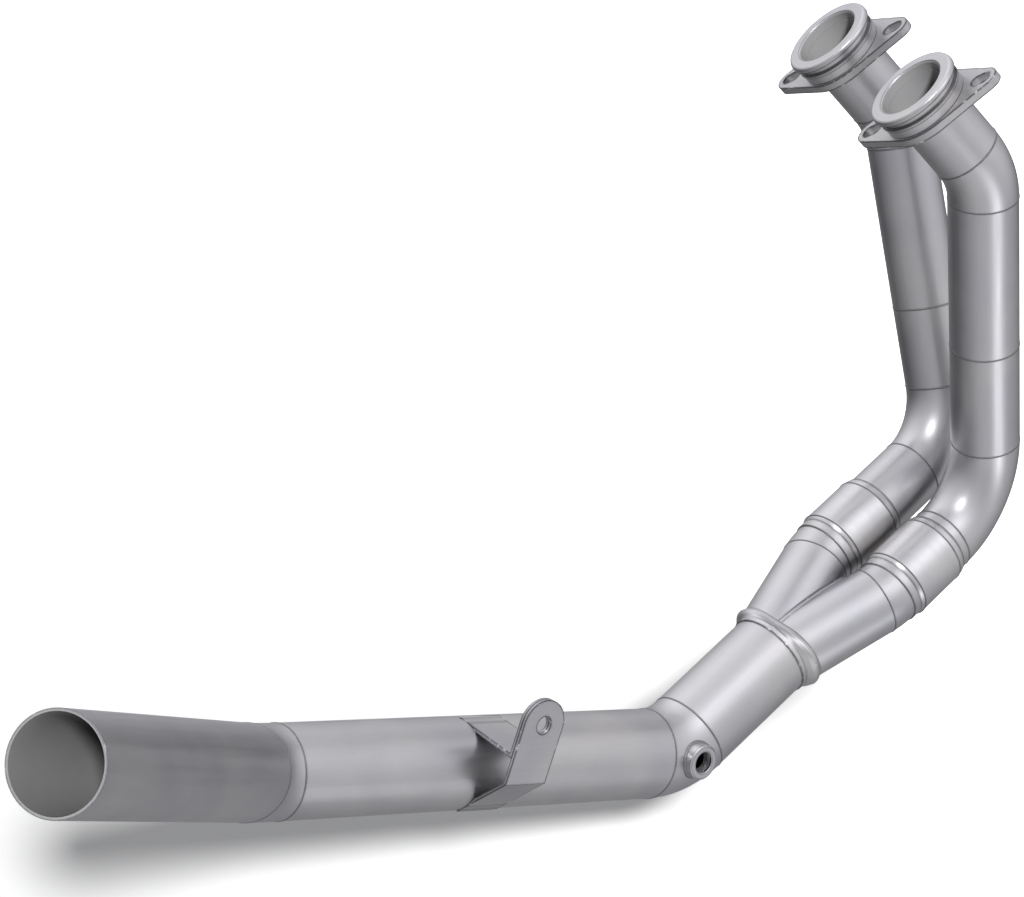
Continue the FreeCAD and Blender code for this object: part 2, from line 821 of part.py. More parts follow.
def lofted(*sections):
    """Solid through ovals, each given as offset, radius and station, with straight sides."""
    return Part.makeLoft([oval(*section) for section in sections], True, True)


def merge_ring():
    """Reducer from the pair of inlets, an oval, to the link pipe, a circle."""
    inlet = float(inlet_od) / 2.0
    tilt = math.radians(float(size.inlet_tilt))
    lip = float(size.ring_lip)
    clearance, wall = float(size.ring_clearance), float(size.ring_wall)
    socket = inlet + clearance
    offset = inlet_offset(lip) + inlet / math.cos(tilt) - inlet
    neck, shoulder, rim = float(size.ring_neck), float(size.ring_shoulder), float(size.ring_rim)
    neck_radius = float(size.link_od) / 2.0 + float(size.ring_neck_wall)
    bore = float(size.link_od) / 2.0 - float(size.link_wall)
    ledge = socket - float(size.ring_ledge)
    halfway = (neck + shoulder) / 2.0
    swell = float(size.ring_swell)
    waist = neck_radius + (socket + wall - neck_radius) * swell
    lip_radius = socket + float(size.ring_lip_wall)
    beyond = wall

    outer = lofted((0.0, neck_radius, 0.0), (0.0, neck_radius, neck))
    outer = outer.fuse(lofted(
        (0.0, neck_radius, neck),
        (offset * swell, waist, halfway),
        (offset, socket + wall, shoulder),
    ))
    outer = outer.fuse(lofted((offset, socket + wall, shoulder), (offset, socket + wall, rim)))
    outer = outer.fuse(lofted((offset, socket + wall, rim), (offset, lip_radius, lip)))
    inner = lofted((0.0, bore, -beyond), (0.0, bore, neck))
    inner = inner.fuse(lofted((0.0, bore, neck), (offset, ledge, shoulder)))
    inner = inner.fuse(lofted((offset, socket, shoulder), (offset, socket, lip + beyond)))
    return feature("merge_ring", outer.cut(inner).removeSplitter(), placed(merge, inlet_side, collector_axis))


# Link pipe with its sensor boss


def bent_path(points, radius):
    """Wire of straights joined by tangent arcs of one radius."""
    edges = []
    start = points[0]
    for index in range(1, len(points) - 1):
        corner = points[index]
        back, ahead = unit(points[index - 1] - corner), unit(points[index + 1] - corner)
        turn = 180.0 - turn_between(back, ahead)
        cut = setback(turn, radius)
        first, last = corner + back * cut, corner + ahead * cut
        centre = corner + unit(back + ahead) * (radius / math.cos(math.radians(turn) / 2.0))
        middle = centre + unit(corner - centre) * radius
        edges.append(Part.LineSegment(start, first).toShape())
        edges.append(Part.Arc(first, middle, last).toShape())
        start = last
    edges.append(Part.LineSegment(start, points[-1]).toShape())
    return Part.Wire(edges)


def swept(path, radius):
    """Solid rod of a radius along a wire."""
    first = path.OrderedEdges[0]
    start = first.valueAt(first.FirstParameter)
    heading = first.tangentAt(first.FirstParameter)
    ring = Part.Wire([Part.Circle(start, heading, radius).toShape()])
    return path.makePipeShell([ring], True, False)


rear_bend = Bend(outlet, rear_corner, front_corner, size.bend_radius)
front_bend = Bend(rear_corner, front_corner, merge, size.bend_radius)


def link_tubes():
    """Five lengths of tube from the outlet up to the merge: three straights and two bends."""
    tube = (size.link_od, size.link_wall)
    pieces = [
        straight_tube("link_rear", outlet, rear_bend.first, *tube),
        elbow("link_rear_bend", rear_bend, *tube, size.bend_radius),
        straight_tube("link_middle", rear_bend.last, front_bend.first, *tube),
        elbow("link_front_bend", front_bend, *tube, size.bend_radius),
        straight_tube("link_front", front_bend.last, merge, *tube),
    ]
    bored = pieces[3]
    half = math.radians(front_bend.turn) / 2.0
    x = runs.put("boss_seat_x", float(size.bend_radius) * math.cos(half))
    y = runs.put("boss_seat_y", float(size.bend_radius) * math.sin(half))
    doc.recompute()
    hole = new_sketch(bored, "XY_Plane", "probe_hole")
    circle(hole, size.boss_hole, x, y)
    pocket(bored, hole, "probe_hole_cut", False)
    return pieces


def sensor_boss():
    """Threaded boss for the exhaust probe, saddled on the outside of the bend."""
    name = "sensor_boss"
    hole, outer, top = size.boss_hole / 2, size.boss_od / 2, boss_reach
    low = size.link_od / 2 - size.boss_root
    blank = revolved("boss_blank", [
        (hole, low),
        (outer, low),
        (outer, top - size.boss_bevel),
        (outer - size.boss_bevel, top),
        (hole + size.boss_bevel / 2, top),
        (hole, top - size.boss_bevel / 2),
    ])
    blank.Placement = placed(front_bend.middle, middle_axis, front_bend.normal)
    bend = doc.addObject("Part::Torus", "boss_saddle")
    bend.setExpression("Radius1", size.bend_radius.text)
    bend.setExpression("Radius2", (size.link_od / 2).text)
    bend.Placement = placed(front_bend.centre, middle_axis, front_bend.normal)
    boss = doc.addObject("Part::Cut", name)
    boss.Label = name
    boss.Base = blank
    boss.Tool = bend
    doc.recompute()
    return boss


# Hanger bracket: two bent straps that share one eye. In its frame X runs along the pipe, Y up and Z outward.


def tangent_leg(corner, radius, way):
    """Direction from a corner of up and outward along the tangent to a circle round the pipe's axis."""
    distance = math.hypot(*corner)
    lean = way * math.asin(radius / distance)
    to_centre = (-corner[0] / distance, -corner[1] / distance)
    direction = (
        to_centre[0] * math.cos(lean) - to_centre[1] * math.sin(lean),
        to_centre[0] * math.sin(lean) + to_centre[1] * math.cos(lean),
    )
    return direction, math.sqrt(distance * distance - radius * radius)


def strap_section(body, name, plate_face, corner, way):
    """Bent section of a strap: a standing plate and a leg whose face is tangent to the pipe."""
    sheet = float(size.hanger_sheet)
    lap = float(size.link_od) / 2.0 + float(size.hanger_lap)
    (up, out), reach = tangent_leg(corner, lap, way)
    reach += float(size.hanger_overrun)
    top = float(size.hanger_eye_height) + float(size.hanger_width)
    inward = (out * way, -up * way)
    end = (corner[0] + up * reach, corner[1] + out * reach)
    end_inner = (end[0] + inward[0] * sheet, end[1] + inward[1] * sheet)
    other_face = plate_face - sheet if way < 0 else plate_face + sheet
    back = (other_face - end_inner[1]) / out
    inner_corner = (end_inner[0] + up * back, other_face)
    corners = [(top, plate_face), corner, end, end_inner, inner_corner, (top, other_face)]
    section = new_sketch(body, "YZ_Plane", name + "_section")
    named = []
    for index, (height, outward) in enumerate(corners):
        stem = name + "_point_" + "abcdef"[index]
        named.append((runs.put(stem + "_up", height), runs.put(stem + "_out", outward)))
    doc.recompute()
    closed_outline(section, named)
    pad = body.newObject("PartDesign::Pad", name + "_bent_sheet")
    pad.Profile = section
    pad.Midplane = True
    wide = size.hanger_width + size.hanger_lean * PAST_EDGE
    pad.Length = float(wide)
    pad.setExpression("Length", wide.text)
    doc.recompute()


def lug_outline(sketch, low):
    """Strap outline: straight below its fold, then leaning to a round end about the eye."""
    half = size.hanger_width / 2
    eye = (size.hanger_lean, size.hanger_eye_height)
    radius = float(half)
    base = (-half, size.hanger_fold), (half, size.hanger_fold)
    touch = []
    for (x, y), hand in zip(base, (1, -1)):
        across, rise = float(eye[0]) - float(x), float(eye[1]) - float(y)
        distance = math.hypot(across, rise)
        lean = hand * math.asin(radius / distance)
        reach = math.sqrt(distance * distance - radius * radius) / distance
        dx = (across * math.cos(lean) - rise * math.sin(lean)) * reach
        dy = (across * math.sin(lean) + rise * math.cos(lean)) * reach
        touch.append(vec(float(x) + dx, float(y) + dy, 0))
    first = sketch.GeometryCount
    left_low, right_low = vec(-half, low, 0), vec(half, low, 0)
    left_fold, right_fold = vec(*base[0], 0), vec(*base[1], 0)
    crown = vec(eye[0], float(eye[1]) + radius, 0)
    pieces = [
        Part.LineSegment(left_low, left_fold),
        Part.LineSegment(left_fold, touch[0]),
        Part.Arc(touch[0], crown, touch[1]),
        Part.LineSegment(touch[1], right_fold),
        Part.LineSegment(right_fold, right_low),
        Part.LineSegment(right_low, left_low),
    ]
    for piece in pieces:
        sketch.addGeometry(piece, False)
    starts = [left_low, left_fold, touch[0], touch[1], right_fold, right_low]
    ends = [edge_ends(sketch, first + index, (p.x, p.y)) for index, p in enumerate(starts)]
    for index in range(6):
        kind = "Tangent" if index in (1, 2) else "Coincident"
        after = (index + 1) % 6
        here, there = first + index, first + after
        last, next_first = ends[index][1], ends[after][0]
        sketch.addConstraint(Sketcher.Constraint(kind, here, last, there, next_first))
    pin_point(sketch, first, ends[0][0], -half, low)
    pin_point(sketch, first + 1, ends[1][0], *base[0])
    pin_point(sketch, first + 2, 3, *eye)
    pin_point(sketch, first + 4, ends[4][0], *base[1])
    pin_point(sketch, first + 5, ends[5][0], half, low)
    bind(sketch, "Radius", (first + 2,), half)


def frame_outline(sketch, reach):
    closed_outline(sketch, [(-reach, -reach), (reach, -reach), (reach, reach), (-reach, reach)])


def pocket(body, sketch, name, both=True):
    before = body.Tip.Shape.Volume
    cut = body.newObject("PartDesign::Pocket", name)
    cut.Profile = sketch
    cut.Type = "ThroughAll"
    cut.Midplane = both
    cut.Reversed = not both
    doc.recompute()
    if cut.Shape.Volume >= before:
        raise RuntimeError(name + " cuts nothing")


def strap_cuts(body, name, outline_depth):
    """Cut the lug outline, the pipe's saddle and the eye through the bent sheet."""
    reach = size.hanger_reach * 2
    outline = new_sketch(body, "XY_Plane", name + "_outline")
    if outline_depth is not None:
        outline.AttachmentOffset = FreeCAD.Placement(vec(0, 0, outline_depth), FreeCAD.Rotation())
        outline.setExpression("AttachmentOffset.Base.z", outline_depth.text)
    frame_outline(outline, reach)
    lug_outline(outline, -size.hanger_reach)
    pocket(body, outline, name + "_trim", outline_depth is None)
    saddle = new_sketch(body, "YZ_Plane", name + "_saddle")
    circle(saddle, size.link_od)
    pocket(body, saddle, name + "_saddle_cut")
    eye = new_sketch(body, "XY_Plane", name + "_eye")
    circle(eye, size.hanger_hole, size.hanger_lean, size.hanger_eye_height)
    pocket(body, eye, name + "_eye_cut")


def hanger_placement():
    centre = front_corner - middle_axis * float(size.hanger_station)
    outward = middle_axis.cross(vec(0, 0, 1))
    return placed(centre, middle_axis, outward)


def outer_strap():
    name = "hanger_outer_strap"
    body = new_body(name)
    face = float(size.hanger_reach)
    strap_section(body, name, face, (float(size.hanger_fold), face), -1)
    strap_cuts(body, name, None)
    body.Placement = hanger_placement()
    return body


def inner_strap():
    name = "hanger_inner_strap"
    body = new_body(name)
    back = float(size.hanger_reach) - 2.0 * float(size.hanger_sheet)
    strap_section(body, name, back, (float(size.hanger_inner_fold), back), 1)
    strap_cuts(body, name, size.hanger_reach - size.hanger_sheet * 2)
    legs = new_sketch(body, "XZ_Plane", name + "_leg_edges")
    half, sweep = size.hanger_width / 2, size.hanger_inner_sweep
    start, end = size.hanger_reach - size.hanger_sheet * 2, -size.hanger_overrun
    far = size.hanger_reach * 2
    low = end * PAST_EDGE
    closed_outline(legs, [(-far, low), (-half, end), (-half + sweep, start), (-far, start)])
    closed_outline(legs, [(far, low), (far, start), (half + sweep, start), (half, end)])
    pocket(body, legs, name + "_leg_trim")
    body.Placement = hanger_placement()
    return body


# Spring hooks


def spring_hook(side):
    """Bent wire that stands off the sleeve and turns back along it, with a round end."""
    wire = float(size.hook_wire) / 2.0
    surface = float(sleeve_od) / 2.0
    top = float(size.hook_station)
    away = surface + float(size.hook_reach)
    root = vec(surface - wire / 2.0, 0, top)
    knee = vec(away, 0, top - float(size.hook_drop))
    tip = vec(away, 0, top - float(size.hook_length))
    points = [root, knee, tip]
    path = bent_path(points, float(size.hook_bend))
    rod = swept(path, wire).fuse(Part.makeSphere(wire, points[-1]))
    sleeve = Part.makeCylinder(surface, float(size.sleeve_top))
    hook = rod.cut(sleeve)
    outward = FreeCAD.Rotation(collector_axis, float(size.hook_angle)).multVec(inlet_side)
    place = placed(inlet_centre(side), outward, collector_axis)
    return feature("spring_hook_" + side, hook, place)


# Build, check and write


def build():
    pieces = []
    for side in ("right", "left"):
        pieces += [port_collar(side), port_flange(side), seat_ring(side)]
        pieces += header_tubes(side)
        pieces += [slip_sleeve(side), collector_inlet(side), spring_hook(side)]
    pieces += [collector_strip(), merge_ring()]
    pieces += link_tubes()
    pieces += [sensor_boss(), outer_strap(), inner_strap()]
    return pieces


def main():
    pieces = build()
    doc.recompute()
    for item in doc.Objects:
        if "Invalid" in item.State or "Error" in item.State:
            raise RuntimeError(item.Label + " failed: " + ", ".join(item.State))
    for piece in pieces:
        if piece.Shape.isNull() or not piece.Shape.isValid():
            raise RuntimeError(piece.Label + " has no valid shape")
    os.makedirs("parts", exist_ok=True)
    for piece in pieces:
        piece.Shape.exportStep(os.path.join("parts", piece.Label + ".step"))
        print(piece.Label, "solids", len(piece.Shape.Solids), "volume", round(piece.Shape.Volume, 1))


main()
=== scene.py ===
# %% [markdown]
# # A pair of header pipes that merge into one link pipe
#
# This scene dresses a motorcycle exhaust: two flanged ports, two bent header tubes, slip sleeves, a
# collector and a long link pipe with a probe boss and a folded hanger. The solids come from the CAD
# source and stay where they are. What is added here is what a workshop adds: weld beads, a cut
# thread, the fine rings where a bent end starts and stops, and a steel finish for every piece.
#
# All numbers are metres and degrees, in the same frame as the CAD: X to the front of the machine,
# Y to its left and Z up, with the origin in the middle of the right port's face.

# %% Load the pipe
import math

import bpy
import numpy as np
from mathutils import Matrix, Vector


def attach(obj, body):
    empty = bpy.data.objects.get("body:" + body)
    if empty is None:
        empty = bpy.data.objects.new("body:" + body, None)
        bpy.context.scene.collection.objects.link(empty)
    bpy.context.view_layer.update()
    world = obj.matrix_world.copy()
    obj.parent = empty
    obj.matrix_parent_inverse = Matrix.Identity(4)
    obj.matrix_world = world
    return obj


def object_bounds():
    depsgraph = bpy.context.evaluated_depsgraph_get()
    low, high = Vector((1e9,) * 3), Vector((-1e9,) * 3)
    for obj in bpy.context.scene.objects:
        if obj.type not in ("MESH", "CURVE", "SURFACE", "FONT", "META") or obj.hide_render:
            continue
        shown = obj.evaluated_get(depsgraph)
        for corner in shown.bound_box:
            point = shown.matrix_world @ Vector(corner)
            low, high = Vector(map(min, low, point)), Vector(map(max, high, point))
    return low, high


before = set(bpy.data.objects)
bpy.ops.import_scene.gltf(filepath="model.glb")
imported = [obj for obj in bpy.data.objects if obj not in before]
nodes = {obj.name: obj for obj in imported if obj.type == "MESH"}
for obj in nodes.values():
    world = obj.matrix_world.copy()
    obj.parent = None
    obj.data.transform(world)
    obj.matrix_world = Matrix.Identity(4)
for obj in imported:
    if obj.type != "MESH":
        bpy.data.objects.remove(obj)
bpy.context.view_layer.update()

# %% [markdown]
# ## The lines that the pipe follows
#
# Every tube runs along a straight line or an arc between a few corner points. The corners are worked
# out here again from the same named sizes as in the CAD source, because the weld beads, threads and
# brushing marks all have to lie along these lines.

# %% Directions and corner points


def heading(turn, climb):
    """Unit vector at a turn to the left of forward and a climb above level, both in degrees."""
    across, rise = math.radians(turn), math.radians(climb)
    return np.array([math.cos(rise) * math.cos(across), math.cos(rise) * math.sin(across), math.sin(rise)])


def unit(vector):
    """The vector divided by its own length."""
    return np.asarray(vector, float) / np.linalg.norm(vector)


PORT_PITCH = 0.125
STUB_LENGTH = 0.0688
HEADER_RADIUS = 0.020
LINK_RADIUS = 0.025
BEND_RADIUS = 0.050
JOINT_BELOW_BEND = 0.112
INLET_STATION = 0.07754
INLET_PITCH = 0.04744
INLET_TILT = 14.3
INLET_BEND_RADIUS = 0.040
INLET_RADIUS = 0.02025
SLEEVE_RADIUS = 0.022
SLEEVE_LIP = 0.0007
SLEEVE_TOP, SLEEVE_SHOULDER, SLEEVE_ROLL = 0.0445, 0.0395, 0.0080
HEADER_RUN = {"right": 0.0912, "left": 0.1152}
HAND = {"right": 1.0, "left": -1.0}

port_axis = heading(180.0, 48.5)
collector_axis = heading(25.21, 24.36)
middle_axis = heading(23.71, -14.57)
rear_axis = heading(53.68, -24.93)
up = np.array([0.0, 0.0, 1.0])


def turned(vector, axis, degrees):
    """Vector turned about a unit axis by Rodrigues' rule: v cos a + (k x v) sin a + k (k.v)(1 - cos a)."""
    a = math.radians(degrees)
    return (vector * math.cos(a) + np.cross(axis, vector) * math.sin(a)
            + axis * np.dot(axis, vector) * (1.0 - math.cos(a)))


merge = np.array([-0.07445, -0.00272, -0.32686])
inlet_side = turned(unit(np.cross(collector_axis, up)), collector_axis, 15.57)
inlet_down = np.cross(collector_axis, inlet_side)
front_corner = merge - collector_axis * 0.08742
rear_corner = front_corner - middle_axis * 0.29326
outlet = rear_corner - rear_axis * 0.23354
port = {"right": np.zeros(3), "left": np.array([0.0, PORT_PITCH, 0.0])}
inlet = {s: merge + collector_axis * INLET_STATION + inlet_side * HAND[s] * INLET_PITCH / 2 for s in HAND}
upper_corner = {s: port[s] - port_axis * STUB_LENGTH for s in HAND}
lower_corner = {s: inlet[s] + collector_axis * HEADER_RUN[s] for s in HAND}
print("outlet at", np.round(outlet, 3), "front corner at", np.round(front_corner, 3))


def bend(before, corner, after):
    """Ends, centre, middle and normal of the arc of BEND_RADIUS that rounds a corner."""
    back, ahead = unit(before - corner), unit(after - corner)
    turn = math.pi - math.acos(np.clip(np.dot(back, ahead), -1, 1))
    cut = BEND_RADIUS * math.tan(turn / 2)
    centre = corner + unit(back + ahead) * BEND_RADIUS / math.cos(turn / 2)
    middle = centre + unit(corner - centre) * BEND_RADIUS
    return {"first": corner + back * cut, "last": corner + ahead * cut, "centre": centre,
            "middle": middle, "in": -back, "out": ahead, "normal": unit(np.cross(ahead, back))}


bends = {"link_rear_bend": bend(outlet, rear_corner, front_corner),
         "link_front_bend": bend(rear_corner, front_corner, merge)}
for side in HAND:
    bends["header_neck_" + side] = bend(port[side], upper_corner[side], lower_corner[side])
    bends["header_elbow_" + side] = bend(upper_corner[side], lower_corner[side], inlet[side])
print("bends:", sorted(bends))

# %% [markdown]
# ## Steel finishes
#
# The real pipe is stainless tube: drawn lengthways, so its grain runs along the tube, with turned
# collars whose marks run round, and rolled sheet for the straps. One function builds the node tree
# for all of them. The grain is noise in Object coordinates that are squeezed along the marks, and it
# moves the roughness and a small bump. Slow noise varies the colour. The Bevel node finds the edges:
# they hold a thin dark line that the polishing wheel missed, worn bright again in places by hands.

# %% Small helper for node trees


class Finish:
    """A node tree under construction, of a new material or of the owner that is given."""

    def __init__(self, name, owner=None):
        self.material = owner or bpy.data.materials.new(name)
        self.material.use_nodes = True
        self.tree = self.material.node_tree
        self.tree.nodes.clear()

    def add(self, kind, settings=None, **inputs):
        """New node; inputs are given by name, or by number as _0, _1 and so on, as a value or a socket."""
        node = self.tree.nodes.new("ShaderNode" + kind)
        for key, value in (settings or {}).items():
            setattr(node, key, value)
        for key, value in inputs.items():
            numbered = key[0] == "_" and key[1:].isdigit()
            socket = node.inputs[int(key[1:])] if numbered else node.inputs[key.replace("_", " ")]
            if isinstance(value, bpy.types.NodeSocket):
                self.tree.links.new(value, socket)
            else:
                socket.default_value = value
        return node

    def most(self, first, second):
        """The larger of two values."""
        return self.add("Math", {"operation": "MAXIMUM"}, _0=first, _1=second).outputs[0]

    def vector(self, operation, first, second):
        """Node of a vector sum on two inputs."""
        return self.add("VectorMath", {"operation": operation}, _0=first, _1=second)

    def ramp(self, factor, stops):
        """Colour ramp through (position, grey or colour) stops."""
        node = self.add("ValToRGB", Fac=factor)
        elements = node.color_ramp.elements
        while len(elements) < len(stops):
            elements.new(0.5)
        for element, (position, colour) in zip(elements, stops):
            element.position = position
            element.color = (*colour, 1.0) if isinstance(colour, tuple) else (colour, colour, colour, 1.0)
        return node.outputs["Color"]

    def blend(self, factor, first, second, kind="MIX"):
        """Mix of two colours by a factor."""
        node = self.add("Mix", {"data_type": "RGBA", "blend_type": kind}, _0=factor, _6=first, _7=second)
        return node.outputs[2]


def tinted(value, tint):
    """Grey of a value, leaning to a tint."""
    return tuple(value * part for part in tint)


print("finish helper ready")

# %% One function for brushed, turned and rolled steel
COOL = (0.985, 0.985, 1.03)
WARM = (1.02, 1.0, 0.975)
# Grey of the painted shade on the walls inside bores.
BORE_SHADE_GREY = 0.23
EDGE_ROUND = 0.00025
EDGE_REACH = 0.0022
MARK_DEPTH = 0.00012
GRAIN_SQUEEZE = 0.965


def steel(name, value=0.52, rough=0.36, axis=None, centre=None, turned_marks=False, grain=0.5,
          wear=0.5, inside=None):
    """Stainless steel. Marks run along axis, or round it with turned_marks; None gives an even matt.

    inside is (point, direction, radius) of a bore, whose wall gets a darker matt grey as painted shade.
    """
    f = Finish(name)
    place = f.add("TexCoord").outputs["Object"]
    if axis is None:
        squeezed = place
    elif turned_marks:
        away = f.vector("SUBTRACT", place, tuple(centre)).outputs[0]
        along = f.vector("DOT_PRODUCT", away, tuple(axis)).outputs["Value"]
        cross = f.vector("CROSS_PRODUCT", away, tuple(axis)).outputs[0]
        round_it = f.add("VectorMath", {"operation": "LENGTH"}, _0=cross).outputs["Value"]
        squeezed = f.add("CombineXYZ", X=along, Y=round_it).outputs[0]
    else:
        along = f.vector("DOT_PRODUCT", place, tuple(axis)).outputs["Value"]
        less = f.add("Math", {"operation": "MULTIPLY"}, _0=along, _1=-GRAIN_SQUEEZE).outputs[0]
        pull = f.add("VectorMath", {"operation": "SCALE"}, _0=tuple(axis), Scale=less).outputs[0]
        squeezed = f.vector("ADD", place, pull).outputs[0]
    marks = f.add("TexNoise", Vector=squeezed, Scale=1400.0, Detail=3.0, Roughness=0.6).outputs["Fac"]
    scratches = f.add("TexNoise", Vector=squeezed, Scale=330.0, Detail=2.0, Roughness=0.5).outputs["Fac"]
    patches = f.add("TexNoise", Vector=place, Scale=16.0, Detail=4.0, Roughness=0.55, Distortion=0.4)
    patches = patches.outputs["Fac"]
    pits = f.add("TexNoise", Vector=place, Scale=2600.0, Detail=1.0).outputs["Fac"]

    slow = f.ramp(patches, [(0.30, tinted(value * 0.93, COOL)), (0.70, tinted(value * 1.06, WARM))])
    fine = f.ramp(marks, [(0.25, 1.0 - 0.10 * grain), (0.75, 1.0)])
    shade = f.blend(1.0, slow, fine, "MULTIPLY")
    soft = f.add("Bevel", {"samples": 4}, Radius=EDGE_ROUND).outputs["Normal"]
    wide = f.add("Bevel", {"samples": 8}, Radius=EDGE_REACH).outputs["Normal"]
    sharp = f.add("NewGeometry").outputs["Normal"]
    same = f.vector("DOT_PRODUCT", wide, sharp).outputs["Value"]
    edge = f.add("MapRange", _0=same, _1=0.985, _2=0.93, _3=0.0, _4=wear).outputs[0]
    worn = f.ramp(scratches, [(0.58, tinted(value * 0.22, COOL)), (0.70, min(0.92, value * 1.45))])
    colour = f.blend(edge, shade, worn)

    smooth, coarse = rough - 0.05 * grain, rough + 0.07 * grain
    spread = f.add("MapRange", _0=scratches, _1=0.3, _2=0.7, _3=smooth, _4=coarse).outputs[0]
    cloud = f.add("MapRange", _0=patches, _1=0.3, _2=0.7, _3=-0.03, _4=0.04).outputs[0]
    dull = f.add("Math", {"operation": "ADD"}, _0=spread, _1=cloud).outputs[0]
    height = f.add("Math", {"operation": "MULTIPLY_ADD"}, _0=pits, _1=0.35, _2=marks).outputs[0]
    depth = 0.10 * grain + 0.02
    bump = f.add("Bump", Strength=depth, Distance=MARK_DEPTH, Height=height, Normal=soft).outputs[0]
    shader = f.add("BsdfPrincipled", Base_Color=colour, Roughness=dull, Normal=bump, Metallic=1.0).outputs[0]
    # Painted shade: inside a bore the wall turns to a darker matt grey, standing in for the shade that falls
    # in the tube.
    if inside:
        start, way, radius = inside
        away = f.vector("SUBTRACT", place, tuple(start)).outputs[0]
        cross = f.vector("CROSS_PRODUCT", away, tuple(way)).outputs[0]
        off_axis = f.add("VectorMath", {"operation": "LENGTH"}, _0=cross).outputs["Value"]
        in_bore = f.add("Math", {"operation": "LESS_THAN"}, _0=off_axis, _1=radius).outputs[0]
        painted_bore_shade = f.ramp(patches, [(0.3, tinted(BORE_SHADE_GREY * 0.9, COOL)), (0.7, tinted(BORE_SHADE_GREY * 1.1, WARM))])
        matt = f.add("BsdfPrincipled", Base_Color=painted_bore_shade, Roughness=0.62, Normal=bump, Metallic=0.0).outputs[0]
        shader = f.add("MixShader", _0=in_bore, _1=shader, _2=matt).outputs[0]
    f.add("OutputMaterial", Surface=shader)
    return f.material


def dress(piece, material):
    """Give one material to every slot of a piece."""
    mesh = piece.data
    if not mesh.materials:
        mesh.materials.append(material)
    for index in range(len(piece.material_slots)):
        piece.material_slots[index].link = "OBJECT"
        piece.material_slots[index].material = material


# %% Give each CAD node its steel
straights = {"link_rear": rear_axis, "link_middle": middle_axis, "link_front": collector_axis}
for side in HAND:
    straights["header_stub_" + side] = port_axis
    straights["header_run_" + side] = unit(upper_corner[side] - lower_corner[side])
    straights["header_drop_" + side] = unit(upper_corner[side] - lower_corner[side])
    straights["header_tail_" + side] = collector_axis
    straights["collector_inlet_" + side] = collector_axis
HALF_WALL = 0.0008
COLLAR_BORE = 0.0194
bores = {"link_rear": (outlet, rear_axis, LINK_RADIUS - HALF_WALL)}
for side in HAND:
    bores["header_stub_" + side] = (port[side], port_axis, HEADER_RADIUS - HALF_WALL)
for name, axis in straights.items():
    dress(nodes[name], steel("drawn_" + name, axis=axis, value=0.50, rough=0.36, inside=bores.get(name)))
for name, arc in bends.items():
    dress(nodes[name], steel("bent_" + name, value=0.51, rough=0.33, grain=0.35, axis=arc["normal"],
                             centre=arc["centre"], turned_marks=True))
for side in HAND:
    round_port = {"axis": port_axis, "centre": port[side], "turned_marks": True}
    round_inlet = {"axis": collector_axis, "centre": inlet[side], "turned_marks": True}
    dress(nodes["port_collar_" + side],
          steel("turned_collar_" + side, value=0.52, rough=0.32, grain=0.9, wear=0.8,
                inside=(port[side], port_axis, COLLAR_BORE), **round_port))
    dress(nodes["flange_ring_" + side], steel("turned_ring_" + side, value=0.52, rough=0.36, **round_port))
    dress(nodes["slip_sleeve_" + side],
          steel("turned_sleeve_" + side, value=0.54, rough=0.32, grain=0.7, wear=0.7, **round_inlet))
    dress(nodes["port_flange_" + side],
          steel("cut_plate_" + side, value=0.47, rough=0.42, axis=np.array([0.0, 1.0, 0.0]), grain=0.8,
                wear=0.9))
    dress(nodes["spring_hook_" + side], steel("wire_" + side, value=0.46, rough=0.34, grain=0.3))
boss_axis = bends["link_front_bend"]["normal"]
dress(nodes["merge_ring"], steel("pressed_ring", value=0.53, rough=0.34, grain=0.4, wear=0.7))
dress(nodes["collector_strip"], steel("pressed_strip", value=0.50, rough=0.38, grain=0.5))
dress(nodes["sensor_boss"],
      steel("turned_boss", value=0.55, rough=0.30, grain=0.8, wear=0.8, axis=boss_axis,
            centre=bends["link_front_bend"]["middle"], turned_marks=True))
for name in ("hanger_outer_strap", "hanger_inner_strap"):
    dress(nodes[name],
          steel("rolled_" + name, value=0.47, rough=0.40, axis=middle_axis, grain=0.7, wear=0.9))
print("steel finishes:", len(bpy.data.materials))

# %% [markdown]
# ## Weld beads
#
# The tubes, bends, collars and brackets of such a pipe are welded with a fine torch, and each seam
# shows as a narrow darker line of overlapping ripples. A bead is a thin rope carried along the seam:
# a small oval is placed at each point of the line, and its size rises and falls with the ripples.
# All the points are one numpy array, so a whole bead is computed at once.

# %% Put a grid of points into a mesh
RIPPLE_PITCH = 0.0013
STEPS_PER_RIPPLE = 5


def surface(name, grid, material, caps=False):
    """Mesh of a grid of points [along, round, xyz]; it closes round, and along too unless it has caps.

    The sign of the volume, a sum of a . (b x c) over the faces, tells whether they look outward.
    """
    rows, columns = grid.shape[:2]
    points = grid.reshape(-1, 3)
    i, j = np.meshgrid(np.arange(rows - (1 if caps else 0)), np.arange(columns), indexing="ij")
    after_i, after_j = (i + 1) % rows, (j + 1) % columns
    here, ahead = i * columns, after_i * columns
    faces = np.stack([here + j, ahead + j, ahead + after_j, here + after_j], -1).reshape(-1, 4)
    corners = points[faces]
    volume = np.einsum("ij,ij->i", corners[:, 0], np.cross(corners[:, 1], corners[:, 2])).sum()
    volume += np.einsum("ij,ij->i", corners[:, 0], np.cross(corners[:, 2], corners[:, 3])).sum()
    if volume < 0:
        faces = faces[:, ::-1]
    polygons = faces.tolist()
    if caps:
        first, last = list(range(columns)), list(range((rows - 1) * columns, rows * columns))
        if volume < 0:
            polygons += [first, last[::-1]]
        else:
            polygons += [first[::-1], last]
    mesh = bpy.data.meshes.new(name)
    mesh.from_pydata(points.tolist(), [], polygons)
    mesh.polygons.foreach_set("use_smooth", np.ones(len(polygons), bool))
    mesh.update()
    piece = bpy.data.objects.new(name, mesh)
    bpy.context.scene.collection.objects.link(piece)
    dress(piece, material)
    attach(piece, "root")
    return piece


